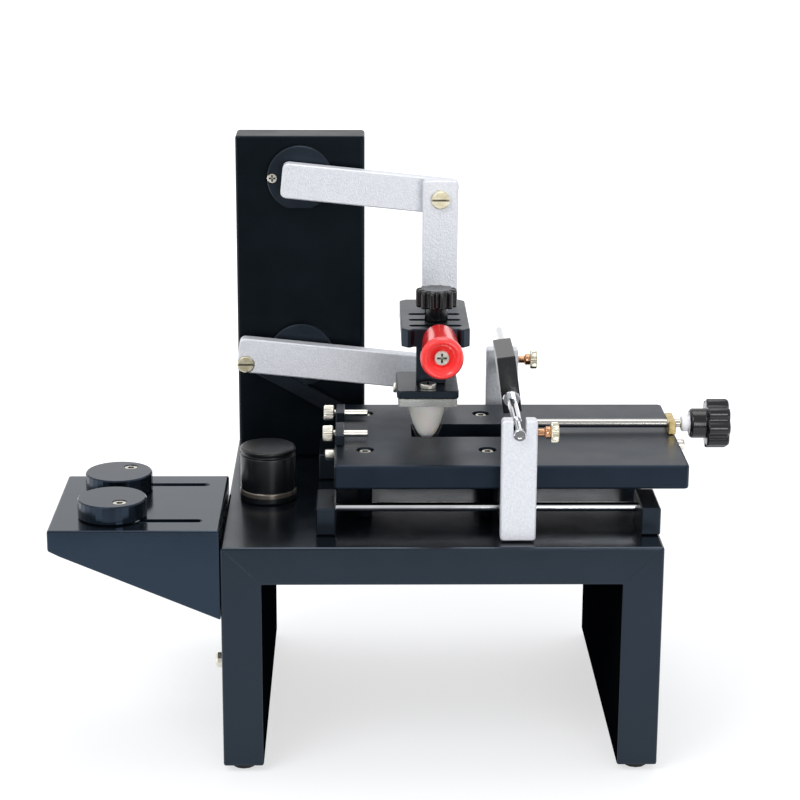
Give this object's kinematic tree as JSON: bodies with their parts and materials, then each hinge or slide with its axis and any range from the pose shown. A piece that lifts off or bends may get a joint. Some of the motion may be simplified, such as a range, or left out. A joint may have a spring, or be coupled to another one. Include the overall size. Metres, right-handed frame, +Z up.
{
  "type": "pad printing machine",
  "caption": "Hand pad printer: a steel bench with a swinging parallel-arm pad head, a slotted head plate, a plate platform, a sliding scraper on chrome rails and a side work table.",
  "frame": {"origin": "on the floor under the middle of the machine's bounding box", "axes": "+X to the machine's right as its user sees it, +Y to the back, +Z up; the user stands at -Y"},
  "size_m": [0.4424, 0.24, 0.3822],
  "materials": {
    "black_paint": "satin black powder paint",
    "column_paint": "satin black powder paint",
    "table_paint": "satin black powder paint",
    "black_anodised": "black anodised",
    "platform_black": "ground and black anodised",
    "holder_black": "black anodised",
    "disc_black": "turned and black anodised",
    "foot_rubber": "matt moulded rubber",
    "post_rubber": "smooth black rubber with a metal foot ring",
    "black_plastic": "moulded gloss black",
    "clamp_knob_plastic": "moulded gloss black with a steel stud",
    "red_plastic": "moulded gloss red",
    "silver_paint": "fine textured silver paint",
    "chrome": "polished chrome plate",
    "nickel": "bright nickel plate",
    "steel": "machined steel",
    "brass": "machined brass",
    "clamp_brass": "nickel plated brass with a white nut",
    "thumb_brass": "knurled and nickel plated brass",
    "clear_acrylic": "clear acrylic",
    "silicone": "cream silicone with a clear skin"
  },
  "bodies": {
    "bench": {"base_frame": "black_paint", "front_left_foot": "foot_rubber", "back_left_foot": "foot_rubber", "front_right_foot": "foot_rubber", "back_right_foot": "foot_rubber", "leg_screw": "nickel", "column": "column_paint", "upper_bearing_flange": "black_anodised", "lower_bearing_flange": "black_anodised", "upper_flange_screw_left": "nickel", "upper_flange_screw_right": "nickel", "platform": "platform_black", "front_left_platform_screw": "nickel", "back_left_platform_screw": "nickel", "front_right_platform_screw": "nickel", "back_right_platform_screw": "nickel", "front_clamp_lug": "black_anodised", "back_clamp_lug": "black_anodised", "clamp_bracket": "clamp_brass", "front_guide_rail": "chrome", "back_guide_rail": "chrome", "front_left_rail_block": "black_anodised", "front_right_rail_block": "black_anodised", "back_left_rail_block": "black_anodised", "back_right_rail_block": "black_anodised", "stop_post": "post_rubber", "work_table": "table_paint"},
    "upper_arm_set": {"upper_arm": "silver_paint", "upper_shaft_bolt": "steel", "upper_pivot_screw": "brass"},
    "lower_arm_set": {"lower_arm": "silver_paint", "lower_shaft_bolt": "steel", "lower_pivot_screw": "brass", "tail_screw": "brass"},
    "link_set": {"head_link": "silver_paint", "head_plate": "black_anodised", "handle": "red_plastic", "handle_screw": "nickel"},
    "sliding_head": {"head_bracket": "black_anodised", "foot_bolt": "nickel", "pad_plate": "black_anodised", "pad_holder": "clear_acrylic", "print_pad": "silicone"},
    "head_knob_set": {"head_knob": "black_plastic"},
    "carriage_set": {"carriage": "black_anodised", "front_upright": "silver_paint", "back_upright": "silver_paint"},
    "drive_link_set": {"drive_link": "black_anodised"},
    "scraper": {"scraper_rod": "chrome", "blade_holder": "holder_black", "scraper_blade": "steel"},
    "front_thumb": {"front_thumb_screw": "thumb_brass"},
    "back_thumb": {"back_thumb_screw": "thumb_brass"},
    "front_plate_clamp": {"front_clamp_screw": "nickel"},
    "back_plate_clamp": {"back_clamp_screw": "nickel"},
    "end_clamp": {"clamp_knob": "clamp_knob_plastic"},
    "front_disc_fastener": {"front_disc_screw": "nickel"},
    "front_disc_set": {"front_disc": "disc_black"},
    "back_disc_fastener": {"back_disc_screw": "nickel"},
    "back_disc_set": {"back_disc": "disc_black"}
  },
  "joints": [
    {"name": "swing", "type": "hinge", "parent": "bench", "child": "upper_arm_set", "pos_m": [-0.06605, 0.06, 0.3538], "axis": [0, -1, 0], "range_deg": [0, 191.5]},
    {"name": "lower_arm_swing", "type": "hinge", "parent": "bench", "child": "lower_arm_set", "pos_m": [-0.06605, 0.06, 0.2285], "axis": [0, -1, 0], "range_deg": [0, 191.5]},
    {"name": "link_turn", "type": "hinge", "parent": "upper_arm_set", "child": "link_set", "pos_m": [0.02946, 0.0494, 0.3441], "axis": [0, -1, 0], "range_deg": [-191.5, 0]},
    {"name": "head_shift", "type": "slide", "parent": "link_set", "child": "sliding_head", "axis": [1, 0, 0], "range_m": [0, 0.012]},
    {"name": "head_knob_turn", "type": "hinge", "parent": "sliding_head", "child": "head_knob_set", "pos_m": [0.02526, -0.0155, 0.2752], "axis": [0, 0, 1], "range_deg": [0, 720]},
    {"name": "carriage_slide", "type": "slide", "parent": "bench", "child": "carriage_set", "axis": [1, 0, 0], "range_m": [0, 0.066]},
    {"name": "drive_link_turn", "type": "hinge", "parent": "carriage_set", "child": "drive_link_set", "pos_m": [0.00351, 0.0656, 0.1652], "axis": [0, -1, 0], "range_deg": [0, 12]},
    {"name": "scraper_tilt", "type": "hinge", "parent": "carriage_set", "child": "scraper", "pos_m": [0.07485, -0.02, 0.2245], "axis": [0, 1, 0], "range_deg": [-20, 20]},
    {"name": "front_thumb_turn", "type": "hinge", "parent": "carriage_set", "child": "front_thumb", "pos_m": [0.08605, -0.105, 0.2245], "axis": [1, 0, 0], "range_deg": [0, 720]},
    {"name": "back_thumb_turn", "type": "hinge", "parent": "carriage_set", "child": "back_thumb", "pos_m": [0.08605, 0.0745, 0.2245], "axis": [1, 0, 0], "range_deg": [0, 720]},
    {"name": "front_plate_clamp_turn", "type": "hinge", "parent": "bench", "child": "front_plate_clamp", "pos_m": [-0.04155, -0.031, 0.2019], "axis": [1, 0, 0], "range_deg": [0, 720]},
    {"name": "back_plate_clamp_turn", "type": "hinge", "parent": "bench", "child": "back_plate_clamp", "pos_m": [-0.04155, 0.018, 0.2019], "axis": [1, 0, 0], "range_deg": [0, 720]},
    {"name": "end_clamp_turn", "type": "hinge", "parent": "bench", "child": "end_clamp", "pos_m": [0.19525, -0.011, 0.2029], "axis": [1, 0, 0], "range_deg": [0, 1080]},
    {"name": "front_disc_slide", "type": "slide", "parent": "bench", "child": "front_disc_fastener", "axis": [1, 0, 0], "range_m": [-0.013, 0.03]},
    {"name": "front_disc_turn", "type": "hinge", "parent": "front_disc_fastener", "child": "front_disc_set", "pos_m": [-0.17715, -0.0992, 0.1644], "axis": [0, 0, 1], "range_deg": [-180, 180]},
    {"name": "back_disc_slide", "type": "slide", "parent": "bench", "child": "back_disc_fastener", "axis": [1, 0, 0], "range_m": [-0.013, 0.03]},
    {"name": "back_disc_turn", "type": "hinge", "parent": "back_disc_fastener", "child": "back_disc_set", "pos_m": [-0.17715, -0.0247, 0.1644], "axis": [0, 0, 1], "range_deg": [-180, 180]}
  ],
  "couplings": [
    {"joint": "lower_arm_swing", "follows": "swing", "ratio": 1},
    {"joint": "link_turn", "follows": "swing", "ratio": -1},
    {"joint": "carriage_slide", "follows": "swing", "m_per_rad": 0.0197},
    {"joint": "drive_link_turn", "follows": "swing", "ratio": 0.0626}
  ]
}
